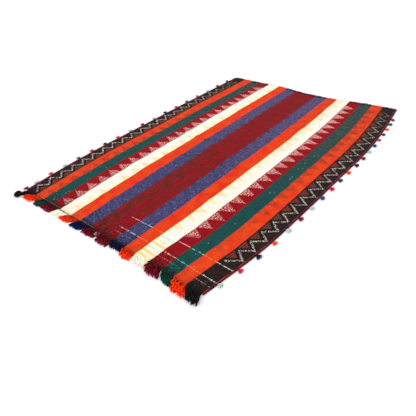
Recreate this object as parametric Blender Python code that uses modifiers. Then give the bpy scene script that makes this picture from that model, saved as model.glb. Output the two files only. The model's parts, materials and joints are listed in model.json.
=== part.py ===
"""A striped jajim rug lying flat on a floor.

Two warp-faced wool panels are sewn edge to edge down the middle. A double cord is sewn along
each long side and hung with small wool tassels, and the cut warp ends stand out as a fringe at
both short ends. Metres, +Z up. The floor is z = 0, +Y runs along the warp from the near end to
the far end, and +X runs across the stripes.
"""

import math
import random
from collections import namedtuple

import bmesh
import bpy
from mathutils import Vector

RUG = "jajim_rug"
GAP = 0.0003  # clearance between neighbouring pieces
NEAR, FAR = 0.0, 1.0  # shares of the length at the two woven ends
LEFT, RIGHT = -1, 1  # signs of the two panels' sides of the seam

# The weave
CLOTH = 0.0025  # thickness
ROWS = 80  # facets along a panel
COLUMNS_PER_STRIPE = 2  # facets across a stripe

Stripe = namedtuple("Stripe", "name width colour near_ends")
# From the seam outward, the same in both panels. near_ends scales the warp ends of that stripe.
STRIPES = (
    Stripe("centre_red", 0.090, (0.262, 0.010, 0.021), 1.00),
    Stripe("indigo", 0.090, (0.053, 0.053, 0.188), 1.00),
    Stripe("inner_orange", 0.079, (0.871, 0.061, 0.010), 0.97),
    Stripe("cream", 0.094, (0.905, 0.855, 0.720), 0.97),
    Stripe("outer_red", 0.087, (0.262, 0.010, 0.021), 0.98),
    Stripe("green", 0.079, (0.013, 0.091, 0.070), 0.98),
    Stripe("outer_orange", 0.077, (0.871, 0.061, 0.010), 1.00),
    Stripe("black_brown", 0.088, (0.021, 0.013, 0.013), 1.08),
)

Outline = namedtuple("Outline", "left seam right")
# X of the weave's two long edges and of the seam, evenly spaced from the near to the far end.
OUTLINE = (
    Outline(-0.650, 0.008, 0.628),
    Outline(-0.680, 0.002, 0.670),
    Outline(-0.689, -0.003, 0.682),
    Outline(-0.687, -0.007, 0.685),
    Outline(-0.689, -0.010, 0.689),
    Outline(-0.685, -0.012, 0.666),
    Outline(-0.680, -0.013, 0.621),
)

Ends = namedtuple("Ends", "near far")
# Y of the weave's two short ends, evenly spaced from the left edge to the right edge.
ENDS = (
    Ends(-0.950, 0.996),
    Ends(-0.951, 0.994),
    Ends(-0.951, 0.990),
    Ends(-0.951, 0.961),
    Ends(-0.948, 0.962),
    Ends(-0.951, 0.984),
    Ends(-0.957, 0.996),
)

Ripple = namedtuple("Ripple", "x y half_length half_width turn_deg height")
# Soft folds where the cloth stands clear of the floor. turn_deg turns a fold's crest from +X.
RIPPLES = (
    Ripple(-0.010, -0.063, 0.38, 0.070, -13.0, 0.010),
    Ripple(0.180, -0.470, 0.28, 0.080, 6.0, 0.003),
    Ripple(-0.360, -0.420, 0.26, 0.090, -4.0, 0.003),
    Ripple(0.260, 0.400, 0.30, 0.090, 5.0, 0.004),
    Ripple(-0.300, 0.520, 0.28, 0.090, -6.0, 0.003),
    Ripple(0.150, 0.780, 0.26, 0.070, 3.0, 0.003),
)

# The double cord sewn along each long side
CORD_WIDTH = 0.012
CORD_HEIGHT = 0.006
CORD_STATIONS = 37
CORD_COLOUR = (0.141, 0.010, 0.032)

CordPoint = namedtuple("CordPoint", "aside height")
# One strand's outline from its sole over its crown: shares of a strand's half width and of the
# cord's height.
CORD_SECTION = (
    CordPoint(1.7, 0.0),
    CordPoint(2.0, 0.4),
    CordPoint(1.6, 0.85),
    CordPoint(1.0, 1.0),
)
CORD_GROOVE = 0.7  # height between the two strands, as a share of the cord's height

# The warp ends, bunched into locks that grow from a narrow strip beside the weave's end
STRIP_WIDTH = 0.006
STRIP_HEIGHT = 0.0022
LOCKS_PER_STRIPE = 4
LOCK_SHARE = 0.86  # of each lock's pitch along the strip
LOCK_CROWN = 0.7  # a lock's width along its top, as a share of its width on the floor
LOCK_DRIFT = 0.001  # how far a tip strays sideways from the fringe's lean
LOCK_LENGTHS = (0.93, 1.05)  # range of the locks' lengths, as shares
LOCK_HEIGHTS = (0.75, 1.15)  # range of the locks' heights, as shares

Fringe = namedtuple("Fringe", "name side end length lean waist height")
# lean carries the tips along X. waist is how much shorter the locks are halfway along the strip.
FRINGES = (
    Fringe("fringe_near_left", LEFT, NEAR, 0.052, -0.030, 0.00, 0.008),
    Fringe("fringe_near_right", RIGHT, NEAR, 0.048, 0.007, 0.18, 0.010),
    Fringe("fringe_far_left", LEFT, FAR, 0.011, 0.000, 0.10, 0.003),
    Fringe("fringe_far_right", RIGHT, FAR, 0.011, 0.000, 0.10, 0.003),
)

Section = namedtuple("Section", "reach width height")
# Shares of a lock's length, root width and height at each step from its root to its tip.
FRINGE_SECTIONS = {
    NEAR: (Section(0.30, 0.98, 0.90), Section(0.75, 1.00, 1.00), Section(1.00, 0.62, 0.35)),
    FAR: (Section(0.60, 1.00, 1.00), Section(1.00, 0.62, 0.50)),
}

# The tassels: a bound neck and a flat fan of locks
NECK_LENGTH = 0.004
NECK_WIDTH = 0.007
NECK_HEIGHT = 0.005
FAN_LENGTH = 0.018
FAN_SPREAD = 96.0  # degrees from the first lock to the last
FAN_HEIGHT = 0.009
TASSEL_LOCKS = 4
FAN_LENGTHS = (0.9, 1.1)  # range from tassel to tassel, and from lock to lock, as shares
FAN_HEIGHTS = (0.85, 1.15)  # range of a tassel's locks, as shares
FAN_SECTIONS = (Section(0.70, 4.1, 1.00), Section(1.00, 3.9, 0.45))

WOOL_ROUGHNESS = 0.9
WOOLS = {
    "crimson": (0.230, 0.008, 0.030),
    "mint": (0.300, 0.560, 0.450),
    "pink": (0.680, 0.020, 0.110),
    "navy": (0.010, 0.020, 0.110),
    "orange": (0.871, 0.061, 0.010),
    "blue": (0.012, 0.080, 0.380),
    "green": (0.006, 0.045, 0.028),
    "black": (0.012, 0.012, 0.014),
}

TasselRow = namedtuple("TasselRow", "name side first second near_pitch far_pitch colours")
# first and second are Y of the two nearest tassels. The pitch of the rest changes evenly.
TASSEL_ROWS = (
    TasselRow(
        "tassel_right", RIGHT, -0.880, -0.772, 0.109, 0.069,
        "mint pink navy orange mint crimson mint blue pink green "
        "orange black crimson mint blue pink green orange green crimson",
    ),
    TasselRow(
        "tassel_left", LEFT, -0.943, -0.873, 0.100, 0.122,
        "crimson mint pink mint blue pink navy orange mint "
        "crimson mint blue pink green orange mint crimson blue",
    ),
)

# The knotted seam thread's own small tuft, held back between the two near fringes
SEAM_TUFT_WIDTH = 0.0034
SEAM_TUFT_LENGTH = 0.024
SEAM_TUFT_SPREAD = 26.0
SEAM_TUFT_LEAN = -9.0  # degrees towards the left panel
SEAM_TUFT_SECTIONS = (Section(0.70, 2.8, 1.00), Section(1.00, 2.6, 0.45))


def smooth_value(values, share):
    """Catmull-Rom value at a share from 0 to 1 of the way along evenly spaced values."""
    ahead, beyond = 2 * values[0] - values[1], 2 * values[-1] - values[-2]
    knots = [ahead, *values, beyond]
    place = share * (len(values) - 1)
    start = max(0, min(int(place), len(values) - 2))
    t = place - start
    before, a, b, after = knots[start : start + 4]
    slope = b - before
    bend = 2 * before - 5 * a + 4 * b - after
    twist = 3 * a - before - 3 * b + after
    return a + 0.5 * (slope * t + bend * t**2 + twist * t**3)


def ripple_height(x, y):
    """Height of the cloth's underside above the floor."""
    rise = 0.0
    for ripple in RIPPLES:
        turn = math.radians(ripple.turn_deg)
        dx, dy = x - ripple.x, y - ripple.y
        along = (dx * math.cos(turn) + dy * math.sin(turn)) / ripple.half_length
        aside = (dy * math.cos(turn) - dx * math.sin(turn)) / ripple.half_width
        if max(abs(along), abs(aside)) < 1:
            crest = math.cos(math.pi / 2 * along) * math.cos(math.pi / 2 * aside)
            rise += ripple.height * crest**2
    return rise


def stripe_share(stripes):
    """Share of a panel's width reached after a number of stripes, which may be a fraction."""
    widths = [stripe.width for stripe in STRIPES]
    whole = min(int(stripes), len(widths) - 1)
    return (sum(widths[:whole]) + (stripes - whole) * widths[whole]) / sum(widths)


def edge_x(side, along):
    edges = [row.left if side == LEFT else row.right for row in OUTLINE]
    return smooth_value(edges, along)


def end_y(side, across, along):
    """Y at a share of the length, on the line that runs between the two woven ends."""
    share = (1 + side * across) / 2
    near = smooth_value([row.near for row in ENDS], share)
    far = smooth_value([row.far for row in ENDS], share)
    return near + along * (far - near)


def edge_place(side, y):
    """X of a panel's outer edge at a given Y, and the edge's slope in X for each metre of Y."""
    near, far = (end_y(side, 1.0, end) for end in (NEAR, FAR))
    step = CORD_WIDTH / 2
    behind, here, ahead = (
        edge_x(side, (place - near) / (far - near)) for place in (y - step, y, y + step)
    )
    return here, (ahead - behind) / (2 * step)


def cloth_point(side, across, along):
    """Underside of a panel: across runs from 0 at the seam to 1 at the outer edge."""
    seam = smooth_value([row.seam for row in OUTLINE], along) + side * GAP / 2
    x = seam + across * (edge_x(side, along) - seam)
    y = end_y(side, across, along)
    return Vector((x, y, ripple_height(x, y)))


def weave_end_point(side, stripes, end):
    """A point on the straight facets of a panel's woven end, a number of stripes from the seam."""
    facet = min(int(stripes * COLUMNS_PER_STRIPE), len(STRIPES) * COLUMNS_PER_STRIPE - 1)
    corners = (stripe_share((facet + k) / COLUMNS_PER_STRIPE) for k in (0, 1))
    start, stop = (cloth_point(side, share, end) for share in corners)
    return start.lerp(stop, stripes * COLUMNS_PER_STRIPE - facet)


def wool(name, colour):
    """A matt woollen finish, made once for each name."""
    material = bpy.data.materials.get(name)
    if material is None:
        material = bpy.data.materials.new(name)
        material.use_nodes = True
        shader = material.node_tree.nodes["Principled BSDF"]
        shader.inputs["Base Color"].default_value = (*colour, 1.0)
        shader.inputs["Roughness"].default_value = WOOL_ROUGHNESS
        shader.inputs["Metallic"].default_value = 0.0
    return material


def add_object(name, data, parent):
    piece = bpy.data.objects.new(name, data)
    piece.parent = parent
    parent.users_collection[0].objects.link(piece)
    return piece


def mesh_from(bm, name, materials):
    mesh = bpy.data.meshes.new(name)
    bm.to_mesh(mesh)
    bm.free()
    for material in materials:
        mesh.materials.append(material)
    return mesh


def stripe_materials():
    return [wool("wool_" + stripe.name, stripe.colour) for stripe in STRIPES]


def make_panel(name, side, parent):
    """One loom width of cloth: a grid on the floor and its ripples, thickened upward."""
    bm = bmesh.new()
    columns = len(STRIPES) * COLUMNS_PER_STRIPE
    bmesh.ops.create_grid(bm, x_segments=columns, y_segments=ROWS, size=0.5)
    for face in bm.faces:
        share = 0.5 + side * face.calc_center_median().x
        face.material_index = int(share * len(STRIPES))
    for vert in bm.verts:
        stripes = (0.5 + side * vert.co.x) * len(STRIPES)
        vert.co = cloth_point(side, stripe_share(stripes), vert.co.y + 0.5)
    panel = add_object(name, mesh_from(bm, name, stripe_materials()), parent)
    thicken = panel.modifiers.new("cloth", "SOLIDIFY")
    thicken.thickness = CLOTH
    thicken.offset = 1.0
    return panel


def make_cord_profile():
    """The selvedge cord's section: two round strands side by side on a flat sole."""
    strand = CORD_WIDTH / 4
    half = [(-strand * point.aside, CORD_HEIGHT * point.height) for point in CORD_SECTION]
    groove = (0.0, CORD_HEIGHT * CORD_GROOVE)
    outline = [*half, groove, *((-x, z) for x, z in reversed(half))]
    curve = bpy.data.curves.new("cord_profile", "CURVE")
    curve.dimensions = "2D"
    curve.fill_mode = "NONE"
    spline = curve.splines.new("POLY")
    spline.points.add(len(outline) - 1)
    for point, (x, z) in zip(spline.points, outline):
        point.co = (x, z, 0.0, 1.0)
    spline.use_cyclic_u = True
    profile = bpy.data.objects.new("cord_profile", curve)
    guides = bpy.data.collections.new("guides")
    bpy.context.scene.collection.children.link(guides)
    guides.objects.link(profile)
    profile.hide_render = True
    profile.display_type = "WIRE"
    return profile


def make_cord(name, side, profile, parent):
    """The double cord along one long side, resting on the floor beside the weave."""
    curve = bpy.data.curves.new(name, "CURVE")
    curve.dimensions = "3D"
    curve.twist_mode = "Z_UP"
    curve.bevel_mode = "OBJECT"
    curve.bevel_object = profile
    curve.use_fill_caps = True
    spline = curve.splines.new("POLY")
    spline.points.add(CORD_STATIONS - 1)
    for station, point in enumerate(spline.points):
        along = station / (CORD_STATIONS - 1)
        x = edge_x(side, along) + side * (GAP + CORD_WIDTH / 2)
        point.co = (x, end_y(side, 1.0, along), 0.0, 1.0)
    curve.materials.append(wool("wool_cord", CORD_COLOUR))
    return add_object(name, curve, parent)


def cell_edge(index, locks):
    """Share of a bar's length at a cell's edge. Gap and root cells alternate along it."""
    if index in (0, 2 * locks + 1):
        return float(index > 0)
    lock = (index - 1) // 2
    margin = (1 - LOCK_SHARE) / 2
    return (lock + (margin if index % 2 else 1 - margin)) / locks


def bar_cells(bm, locks):
    """Adds a bar of alternate gap and root cells in a unit cube, and returns the root faces."""
    bmesh.ops.create_cube(bm, size=1.0)
    long_edges = [e for e in bm.edges if abs(e.verts[0].co.x - e.verts[1].co.x) > 0.5]
    bmesh.ops.subdivide_edges(bm, edges=long_edges, cuts=2 * locks, use_grid_fill=True)
    bm.normal_update()
    outer = [face for face in bm.faces if face.normal.y > 0.5]
    outer.sort(key=lambda face: face.calc_center_median().x)
    return outer[1::2]


def grow_lock(bm, root, reach, sideways, height, sections):
    """Extrudes a root face through its sections, to a tip that lies at reach from the root."""
    first = root.calc_center_median()
    root_width = max((v.co - w.co).dot(sideways) for v in root.verts for w in root.verts)
    tip = root
    for section in sections:
        tip = bmesh.ops.extrude_discrete_faces(bm, faces=[tip])["faces"][0]
        middle = tip.calc_center_median()
        centre = first + reach * section.reach
        for vert in tip.verts:
            side = math.copysign(0.5, (vert.co - middle).dot(sideways))
            top = vert.co.z > middle.z
            crown = LOCK_CROWN if top else 1.0
            vert.co = centre + sideways * side * root_width * section.width * crown
            vert.co.z = height * section.height if top else 0.0


def make_fringe(fringe, parent):
    """Warp ends of one panel's end, as flat locks fused to a strip beside the weave."""
    rng = random.Random(fringe.name)
    outward = -1 if fringe.end == NEAR else 1
    locks = len(STRIPES) * LOCKS_PER_STRIPE
    cells = 2 * locks + 1
    bm = bmesh.new()
    roots = bar_cells(bm, locks)
    for face in bm.faces:
        stripe = int((0.5 + face.calc_center_median().x) * len(STRIPES))
        face.material_index = min(stripe, len(STRIPES) - 1)
    for vert in bm.verts:
        out, up = vert.co.y + 0.5, vert.co.z + 0.5
        share = cell_edge(round((vert.co.x + 0.5) * cells), locks)
        point = weave_end_point(fringe.side, share * len(STRIPES), fringe.end)
        point.y += outward * (GAP + out * STRIP_WIDTH)
        point.z = up * STRIP_HEIGHT
        vert.co = point
    sideways = Vector((1.0, 0.0, 0.0))
    for lock, root in enumerate(roots):
        share = (lock + 0.5) / locks
        stripe = STRIPES[lock // LOCKS_PER_STRIPE]
        slack = 1 - fringe.waist * math.sin(math.pi * share)
        length = fringe.length * slack * rng.uniform(*LOCK_LENGTHS)
        height = fringe.height * rng.uniform(*LOCK_HEIGHTS)
        if fringe.end == NEAR:
            length *= stripe.near_ends
            height *= stripe.near_ends
        drift = rng.uniform(-LOCK_DRIFT, LOCK_DRIFT)
        reach = Vector((fringe.lean + drift, outward * length, 0.0))
        grow_lock(bm, root, reach, sideways, height, FRINGE_SECTIONS[fringe.end])
    if fringe.side * outward < 0:  # the bar was mirrored as it was laid beside the weave
        bmesh.ops.reverse_faces(bm, faces=bm.faces)
    return add_object(fringe.name, mesh_from(bm, fringe.name, stripe_materials()), parent)


def make_tassel(name, width, fan, spread, sections, rng, material, parent):
    """A bound neck at the origin with a fan of locks growing towards +X, on the floor."""
    bm = bmesh.new()
    roots = bar_cells(bm, TASSEL_LOCKS)
    cells = 2 * TASSEL_LOCKS + 1
    for vert in bm.verts:
        aside = cell_edge(round((vert.co.x + 0.5) * cells), TASSEL_LOCKS) - 0.5
        out, up = vert.co.y + 0.5, vert.co.z + 0.5
        vert.co = (out * NECK_LENGTH, -aside * width, up * NECK_HEIGHT)
    for lock, root in enumerate(roots):
        share = (lock + 0.5) / TASSEL_LOCKS - 0.5
        turn = math.radians(-share * spread)
        reach = Vector((math.cos(turn), math.sin(turn), 0.0)) * fan * rng.uniform(*FAN_LENGTHS)
        sideways = Vector((-math.sin(turn), math.cos(turn), 0.0))
        height = FAN_HEIGHT * rng.uniform(*FAN_HEIGHTS)
        grow_lock(bm, root, reach, sideways, height, sections)
    return add_object(name, mesh_from(bm, name, [material]), parent)


def tassel_places(row, count):
    """Y of each tassel of a row, from the nearest one to the farthest."""
    places = [row.first, row.second]
    for gap in range(count - 2):
        share = gap / (count - 3)
        places.append(places[-1] + row.near_pitch + share * (row.far_pitch - row.near_pitch))
    return places


def make_tassel_row(row, parent):
    """Tassels along one selvedge cord, each turned to point away from the cloth."""
    rng = random.Random(row.name)
    colours = row.colours.split()
    for count, (colour, y) in enumerate(zip(colours, tassel_places(row, len(colours)))):
        name = f"{row.name}_{count + 1:02d}"
        fan = FAN_LENGTH * rng.uniform(*FAN_LENGTHS)
        material = wool("wool_" + colour, WOOLS[colour])
        tassel = make_tassel(
            name, NECK_WIDTH, fan, FAN_SPREAD, FAN_SECTIONS, rng, material, parent
        )
        x, slope = edge_place(row.side, y)
        tassel.location = (x + row.side * (CORD_WIDTH + 2 * GAP), y, 0.0)
        outward = 0.0 if row.side == RIGHT else math.pi
        tassel.rotation_euler.z = outward - math.atan(slope)


def make_seam_tuft(parent):
    """The knotted thread at the seam's near end, between the first locks of both fringes."""
    rng = random.Random("seam_tuft")
    material = wool("wool_navy", WOOLS["navy"])
    width, fan, spread = SEAM_TUFT_WIDTH, SEAM_TUFT_LENGTH, SEAM_TUFT_SPREAD
    tuft = make_tassel("seam_tuft", width, fan, spread, SEAM_TUFT_SECTIONS, rng, material, parent)
    strip_edge = end_y(RIGHT, 0.0, NEAR) - STRIP_WIDTH - GAP
    tuft.location = (OUTLINE[0].seam, strip_edge - GAP, 0.0)
    tuft.rotation_euler.z = math.radians(-90.0 + SEAM_TUFT_LEAN)
    return tuft


def main():
    for old in list(bpy.data.objects):
        bpy.data.objects.remove(old, do_unlink=True)
    collection = bpy.data.collections.new(RUG)
    bpy.context.scene.collection.children.link(collection)
    root = bpy.data.objects.new(RUG + "_origin", None)
    collection.objects.link(root)
    profile = make_cord_profile()
    for side, word in ((LEFT, "left"), (RIGHT, "right")):
        make_panel("panel_" + word, side, root)
        make_cord("selvedge_cord_" + word, side, profile, root)
    for fringe in FRINGES:
        make_fringe(fringe, root)
    for row in TASSEL_ROWS:
        make_tassel_row(row, root)
    make_seam_tuft(root)


main()
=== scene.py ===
"""The looks of a striped jajim rug that lies flat on a floor.

Two warp-faced wool panels are sewn together down the middle. Both carry the same stripes from the
seam outward, with rows of woven motifs, and each outer edge has a double cord hung with small wool
tassels. The warp ends are left as a fringe: combed and leaning at the near end of the left panel,
crumpled at the near end of the right one, and cut short at the far end.

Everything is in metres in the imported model's frame: +X runs across the stripes, +Y along the warp
from the near end to the far end, and the floor is z = 0.
"""

import json
import math
import random
from collections import namedtuple

import bmesh
import bpy
from mathutils import Matrix, Vector, noise


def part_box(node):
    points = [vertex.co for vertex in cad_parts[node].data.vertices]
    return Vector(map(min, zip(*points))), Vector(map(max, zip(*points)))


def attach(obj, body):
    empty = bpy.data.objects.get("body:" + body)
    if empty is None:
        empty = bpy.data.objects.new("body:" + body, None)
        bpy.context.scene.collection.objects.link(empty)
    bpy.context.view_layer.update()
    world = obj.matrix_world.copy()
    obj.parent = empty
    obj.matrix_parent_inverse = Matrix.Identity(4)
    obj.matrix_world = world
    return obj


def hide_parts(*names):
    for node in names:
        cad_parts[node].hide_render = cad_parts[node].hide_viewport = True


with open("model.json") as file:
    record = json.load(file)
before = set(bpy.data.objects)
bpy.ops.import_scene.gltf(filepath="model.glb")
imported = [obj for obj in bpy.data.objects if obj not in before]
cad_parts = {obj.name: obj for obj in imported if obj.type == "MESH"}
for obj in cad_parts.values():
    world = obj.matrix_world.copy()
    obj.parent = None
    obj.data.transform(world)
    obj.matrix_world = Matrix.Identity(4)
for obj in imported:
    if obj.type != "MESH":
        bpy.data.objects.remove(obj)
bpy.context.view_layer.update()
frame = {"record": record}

# ---------------------------------------------------------------- sizes of the rug

LEFT, RIGHT = -1, 1
NEAR, FAR = 0.0, 1.0
SEAM_GAP = 0.00008
UP = Vector((0.0, 0.0, 1.0))

CLOTH = 0.0025  # thickness
CLOTH_LENGTH = 1.945  # from woven end to woven end
ROWS = 320
COLUMNS_PER_STRIPE = 12

Stripe = namedtuple("Stripe", "name width dye weft_tint rubbed")
STRIPES = (  # from the seam outward
    Stripe("centre_red", 0.090, "dark_red", "blush", "crimson"),
    Stripe("indigo", 0.090, "indigo", "lavender", "periwinkle"),
    Stripe("inner_orange", 0.079, "orange", "apricot", "orange"),
    Stripe("cream", 0.094, "cream", "white", "white"),
    Stripe("outer_red", 0.087, "dark_red", "blush", "crimson"),
    Stripe("green", 0.079, "green", "mint", "teal"),
    Stripe("outer_orange", 0.077, "orange", "apricot", "sienna"),
    Stripe("black_brown", 0.088, "black_brown", "bone", "umber"),
)
CLOTH_WIDTH = sum(stripe.width for stripe in STRIPES)

Outline = namedtuple("Outline", "left seam right")
# X of the weave's two long edges and of the seam, evenly spaced from the near to the far end.
OUTLINE = (
    Outline(-0.650, 0.008, 0.628),
    Outline(-0.680, 0.002, 0.670),
    Outline(-0.689, -0.003, 0.682),
    Outline(-0.687, -0.007, 0.685),
    Outline(-0.689, -0.010, 0.689),
    Outline(-0.685, -0.012, 0.666),
    Outline(-0.680, -0.013, 0.621),
)

Ends = namedtuple("Ends", "near far")
# Y of the weave's two short ends, evenly spaced from the left edge to the right edge.
ENDS = (
    Ends(-0.950, 0.996),
    Ends(-0.951, 0.994),
    Ends(-0.951, 0.990),
    Ends(-0.951, 0.961),
    Ends(-0.948, 0.962),
    Ends(-0.951, 0.984),
    Ends(-0.957, 0.996),
)

Ripple = namedtuple("Ripple", "x y half_length half_width turn_deg height")
# Soft folds where the cloth stands clear of the floor. turn_deg turns a fold's crest from +X.
RIPPLES = (
    Ripple(-0.010, -0.063, 0.38, 0.080, -13.0, 0.0075),
    Ripple(0.180, -0.470, 0.28, 0.080, 6.0, 0.003),
    Ripple(-0.360, -0.420, 0.26, 0.090, -4.0, 0.003),
    Ripple(0.260, 0.400, 0.30, 0.090, 5.0, 0.004),
    Ripple(-0.300, 0.520, 0.28, 0.090, -6.0, 0.003),
    Ripple(0.150, 0.780, 0.26, 0.070, 3.0, 0.003),
)

Cockle = namedtuple("Cockle", "across along height seed")
# Slack in the weave: the size of each kind of small rise, and how far it lifts the cloth.
COCKLES = (
    Cockle(0.26, 0.055, 0.0026, 3.1),
    Cockle(0.09, 0.024, 0.0011, 8.7),
)

EDGE_WANDER = 0.0016  # how far stripes and edges stray sideways
Wander = namedtuple("Wander", "changes length seed")
# How often the straying changes over a panel's width, and the length of cloth it changes in.
WANDERS = (Wander(3.0, 0.07, 1.7), Wander(2.0, 0.26, 5.3))
Pinch = namedtuple("Pinch", "across along half_across half_along shift")
# Where the fold has drawn the left panel's yarns a little sideways, in shares of its size.
PINCH = Pinch(0.34, 0.504, 0.22, 0.0080, 0.0090)

Motifs = namedtuple("Motifs", "first repeat count zigzag_lead")
MOTIF_STRAY = 0.012  # how far the weaver's motifs drift from even spacing

AddedWeft = namedtuple("AddedWeft", "place slant width cover dash")
# Pale weft laid in across the right panel. place is at the seam, and slant is per metre outward.
ADDED_WEFTS = (
    AddedWeft(0.172, -0.010, 0.0046, 0.76, 0.010),
    AddedWeft(0.088, -0.018, 0.0076, 0.60, 0.0075),
    AddedWeft(0.056, -0.016, 0.0042, 0.42, 0.004),
)

Panel = namedtuple("Panel", "word side motifs wefts")
PANELS = (
    Panel("left", LEFT, Motifs(0.070, 0.0801, 23, -0.006), ()),
    Panel("right", RIGHT, Motifs(0.243, 0.0797, 21, -0.009), ADDED_WEFTS),
)

# Coloured weft that shows in the right panel's cream stripe near its end: dye, place and width.
CREAM_BANDS = [
    (colour, AddedWeft(place, -0.02, width, 0.95, 0.016))
    for colour, place, width in (
        ("pale_green", 0.156, 0.014),
        ("straw", 0.128, 0.006),
        ("corn", 0.101, 0.012),
        ("pale_green", 0.074, 0.014),
        ("corn", 0.045, 0.013),
        ("straw", 0.016, 0.014),
    )
]

# ---------------------------------------------------------------- dyes

# Display values from 0 to 255, as a dyer would read them off a colour card.
DYES = {
    "dark_red": (144, 9, 22),
    "madder": (112, 24, 30),
    "indigo": (62, 58, 94),
    "orange": (234, 60, 14),
    "cream": (246, 241, 227),
    "green": (20, 74, 68),
    "black_brown": (38, 28, 26),
    "black": (18, 14, 15),
    "brick": (148, 54, 46),
    "red_orange": (230, 62, 20),
    "nut": (116, 54, 38),
    "olive": (58, 44, 30),
    "pink": (255, 208, 198),
    "rose": (198, 66, 80),
    "violet": (92, 80, 120),
    "crimson": (184, 18, 38),
    "periwinkle": (100, 112, 182),
    "grape": (104, 58, 116),
    "heather": (132, 102, 122),
    "sienna": (166, 62, 42),
    "umber": (92, 72, 64),
    "seam_red": (104, 14, 22),
    "slate": (40, 58, 82),
    "teal": (30, 116, 104),
    "rust": (184, 54, 36),
    "peach": (248, 214, 158),
    "straw": (238, 226, 132),
    "corn": (250, 206, 96),
    "pale_green": (206, 240, 212),
    "bone": (226, 216, 200),
    "blush": (246, 176, 168),
    "lavender": (184, 184, 226),
    "apricot": (255, 124, 62),
    "white": (255, 255, 250),
    "mint": (118, 208, 178),
    "ash": (160, 146, 132),
    "burgundy": (76, 16, 36),
    "mauve": (168, 48, 80),
    "loose_dark_red": (132, 6, 34),
    "loose_indigo": (14, 22, 84),
    "loose_orange": (255, 58, 6),
    "loose_cream": (255, 254, 244),
    "twining": (34, 22, 24),
    "loop_thread": (150, 152, 116),
    "loose_green": (6, 72, 56),
    "loose_black_brown": (26, 20, 22),
    "cut_dark_red": (96, 12, 26),
    "cut_indigo": (24, 26, 60),
    "cut_orange": (240, 50, 16),
    "cut_cream": (246, 238, 216),
    "cut_green": (14, 38, 40),
    "cut_black_brown": (24, 16, 16),
    "tassel_crimson": (146, 14, 40),
    "tassel_mint": (198, 224, 210),
    "tassel_pink": (226, 22, 88),
    "tassel_navy": (22, 28, 76),
    "tassel_orange": (250, 72, 30),
    "tassel_blue": (20, 78, 168),
    "tassel_green": (12, 88, 66),
    "tassel_black": (24, 24, 26),
}


def dye(name):
    """A dye as linear colour with alpha."""
    display = (value / 255 for value in DYES[name])
    linear = (v / 12.92 if v <= 0.04045 else ((v + 0.055) / 1.055) ** 2.4 for v in display)
    return (*linear, 1.0)


# ---------------------------------------------------------------- the cloth's form


def smooth_value(values, share):
    """Catmull-Rom value at a share from 0 to 1 of the way along evenly spaced values."""
    ahead, beyond = 2 * values[0] - values[1], 2 * values[-1] - values[-2]
    knots = [ahead, *values, beyond]
    place = share * (len(values) - 1)
    start = max(0, min(int(place), len(values) - 2))
    t = place - start
    before, a, b, after = knots[start : start + 4]
    slope = b - before
    bend = 2 * before - 5 * a + 4 * b - after
    twist = 3 * a - before - 3 * b + after
    return a + 0.5 * (slope * t + bend * t**2 + twist * t**3)


def ripple_height(x, y):
    """Height that the soft folds give the cloth's underside."""
    rise = 0.0
    for ripple in RIPPLES:
        turn = math.radians(ripple.turn_deg)
        dx, dy = x - ripple.x, y - ripple.y
        along = (dx * math.cos(turn) + dy * math.sin(turn)) / ripple.half_length
        aside = (dy * math.cos(turn) - dx * math.sin(turn)) / ripple.half_width
        if max(abs(along), abs(aside)) < 1:
            crest = math.cos(math.pi / 2 * along) * math.cos(math.pi / 2 * aside)
            rise += ripple.height * crest**2
    return rise


def cockle_height(x, y):
    """Height that slack in the weave adds, never below the floor."""
    rise = 0.0
    for cockle in COCKLES:
        place = Vector((x / cockle.across, y / cockle.along, cockle.seed))
        rise += cockle.height * max(0.0, noise.noise(place) + 0.15)
    return rise


def stripe_share(stripes):
    """Share of a panel's width reached after a number of stripes, which may be a fraction."""
    widths = [stripe.width for stripe in STRIPES]
    whole = min(int(stripes), len(widths) - 1)
    return (sum(widths[:whole]) + (stripes - whole) * widths[whole]) / CLOTH_WIDTH


def edge_x(side, along):
    edges = [row.left if side == LEFT else row.right for row in OUTLINE]
    return smooth_value(edges, along)


def end_y(side, across, along):
    """Y at a share of the length, on the line that runs between the two woven ends."""
    share = (1 + side * across) / 2
    near = smooth_value([row.near for row in ENDS], share)
    far = smooth_value([row.far for row in ENDS], share)
    return near + along * (far - near)


def wander(side, across, along):
    """How far a warp yarn strays sideways from its true line."""
    waves = (
        noise.noise(Vector((across * w.changes * side, along * CLOTH_LENGTH / w.length, w.seed)))
        for w in WANDERS
    )
    stray = EDGE_WANDER * sum(waves) * min(1.0, across * 6)
    if side == LEFT:
        aside = (across - PINCH.across) / PINCH.half_across
        ahead = (along - PINCH.along - 0.004 * aside) / PINCH.half_along
        stray -= PINCH.shift * math.exp(-aside**4 - ahead**2)
    return stray


def cloth_point(side, across, along):
    """Underside of a panel: across runs from 0 at the seam to 1 at the outer edge."""
    seam = smooth_value([row.seam for row in OUTLINE], along) + side * SEAM_GAP / 2
    x = seam + across * (edge_x(side, along) - seam) + wander(side, across, along)
    y = end_y(side, across, along)
    return Vector((x, y, ripple_height(x, y) + cockle_height(x, y)))


def edge_point(side, along, offset):
    """A point beside a panel's outer edge, at an offset outward from the weave, on the floor."""
    x = edge_x(side, along) + wander(side, 1.0, along) + side * offset
    return Vector((x, end_y(side, 1.0, along), 0.0))


# ---------------------------------------------------------------- shader tools

NODE_SPACING = 190
FLOAT, VECTOR, COLOUR = "NodeSocketFloat", "NodeSocketVector", "NodeSocketColor"
OUTPUT_KINDS = {"VALUE": FLOAT, "VECTOR": VECTOR, "RGBA": COLOUR}
NO_PLACE, WHITE = (0.0, 0.0, 0.0), (1.0, 1.0, 1.0, 1.0)


def operation(name):
    """A method that puts a value and its partners through a Math node of this operation."""
    return lambda value, *partners: value.bench.maths(name, value, *partners)


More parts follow.
